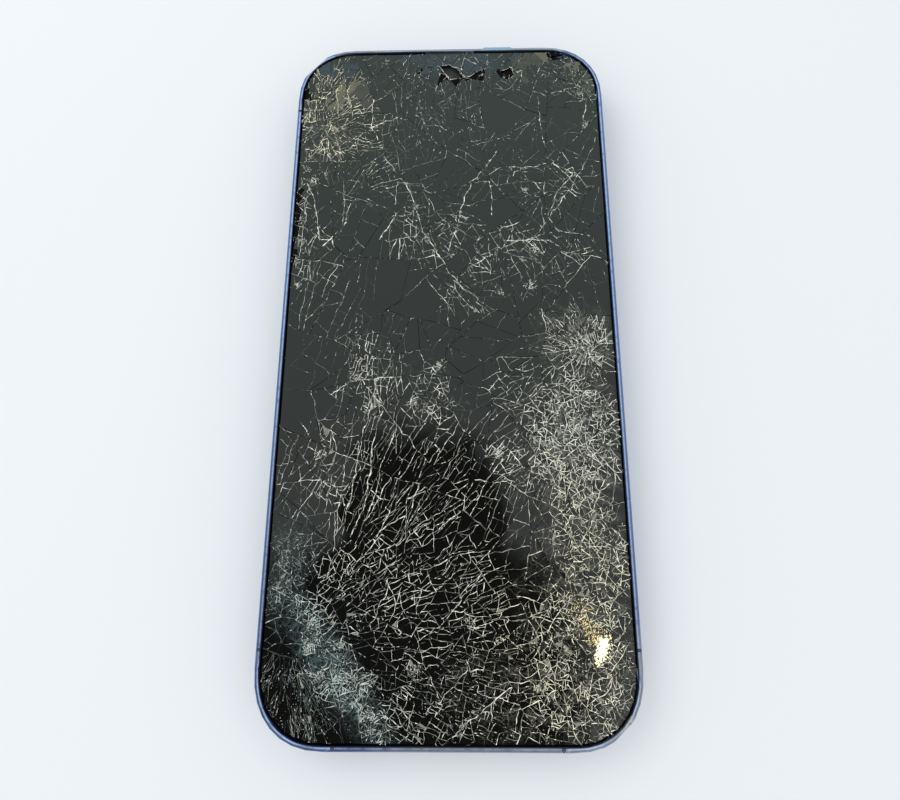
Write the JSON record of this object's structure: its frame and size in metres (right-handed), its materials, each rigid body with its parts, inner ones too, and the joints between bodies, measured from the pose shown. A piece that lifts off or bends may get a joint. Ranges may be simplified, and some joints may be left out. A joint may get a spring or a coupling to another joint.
{
  "type": "shattered screen phone",
  "caption": "Flat-sided slab phone whose front glass is shattered edge to edge in a dented blue metal frame, with side buttons, a mute switch and a SIM tray that move.",
  "frame": {"origin": "middle of the back glass's outer face", "axes": "+X to the right as the screen is seen, +Y to the top of the phone, +Z out of the screen"},
  "size_m": [0.0722, 0.1479, 0.0095],
  "materials": {
    "blue_anodised": "satin anodised, worn pale along its edges",
    "antenna_plastic": "moulded inserts",
    "cracked_glass": "gloss black with pale cracks",
    "back_glass": "tinted gloss",
    "lens_glass": "clear over black",
    "flash_plastic": "clear over pale yellow",
    "black_plastic": "fine matt",
    "display_black": "dark panel",
    "steel": "plain plated",
    "copper": "bare copper winding",
    "magnet": "plated magnet",
    "circuit_board": "solder mask",
    "battery_wrap": "film wrap",
    "flex_film": "polyimide film"
  },
  "bodies": {
    "body": {"antenna_break_bottom_left": "antenna_plastic", "antenna_break_bottom_right": "antenna_plastic", "antenna_break_left_lower": "antenna_plastic", "antenna_break_left_upper": "antenna_plastic", "antenna_break_right_lower": "antenna_plastic", "back_glass": "back_glass", "battery": "battery_wrap", "battery_connector": "black_plastic", "board_screw_1": "steel", "board_screw_2": "steel", "board_screw_3": "steel", "board_screw_4": "steel", "board_shield_lower": "steel", "board_shield_upper": "steel", "bottom_microphone": "steel", "bottom_screw_left": "steel", "bottom_screw_right": "steel", "camera_island": "back_glass", "charge_port_shell": "steel", "charge_port_tongue": "black_plastic", "charging_coil": "copper", "connector_cover": "steel", "display_backplate": "black_plastic", "display_flex": "flex_film", "display_gasket": "black_plastic", "display_panel": "display_black", "dock_flex": "flex_film", "earpiece_mesh": "black_plastic", "earpiece_speaker": "black_plastic", "flash_lens": "flash_plastic", "frame": "blue_anodised", "front_camera": "lens_glass", "front_glass": "cracked_glass", "lens_cover_lower": "lens_glass", "lens_cover_upper": "lens_glass", "lens_ring_lower": "blue_anodised", "lens_ring_upper": "blue_anodised", "logic_board": "circuit_board", "loudspeaker": "black_plastic", "loudspeaker_mesh": "black_plastic", "magnet_ring": "magnet", "microphone_mesh": "black_plastic", "mute_switch_body": "steel", "power_switch": "steel", "rear_camera_lower": "black_plastic", "rear_camera_upper": "black_plastic", "rear_microphone": "black_plastic", "sensor_module": "black_plastic", "sim_reader": "steel", "vibration_motor": "steel", "volume_down_switch": "steel", "volume_up_switch": "steel"},
    "power_button": {"power_button": "blue_anodised"},
    "volume_up_button": {"volume_up_button": "blue_anodised"},
    "volume_down_button": {"volume_down_button": "blue_anodised"},
    "mute_switch": {"mute_switch": "blue_anodised"},
    "sim_tray": {"sim_tray": "blue_anodised"}
  },
  "joints": [
    {"name": "power_press", "type": "slide", "parent": "body", "child": "power_button", "axis": [-1, 0, 0], "range_m": [0, 0.00025], "stiffness_N_per_m": 6000},
    {"name": "volume_up_press", "type": "slide", "parent": "body", "child": "volume_up_button", "axis": [1, 0, 0], "range_m": [0, 0.00025], "stiffness_N_per_m": 6000},
    {"name": "volume_down_press", "type": "slide", "parent": "body", "child": "volume_down_button", "axis": [1, 0, 0], "range_m": [0, 0.00025], "stiffness_N_per_m": 6000},
    {"name": "mute_slide", "type": "slide", "parent": "body", "child": "mute_switch", "axis": [0, 0, 1], "range_m": [0, 0.0008]},
    {"name": "tray_slide", "type": "slide", "parent": "body", "child": "sim_tray", "axis": [1, 0, 0], "range_m": [0, 0.017]}
  ]
}
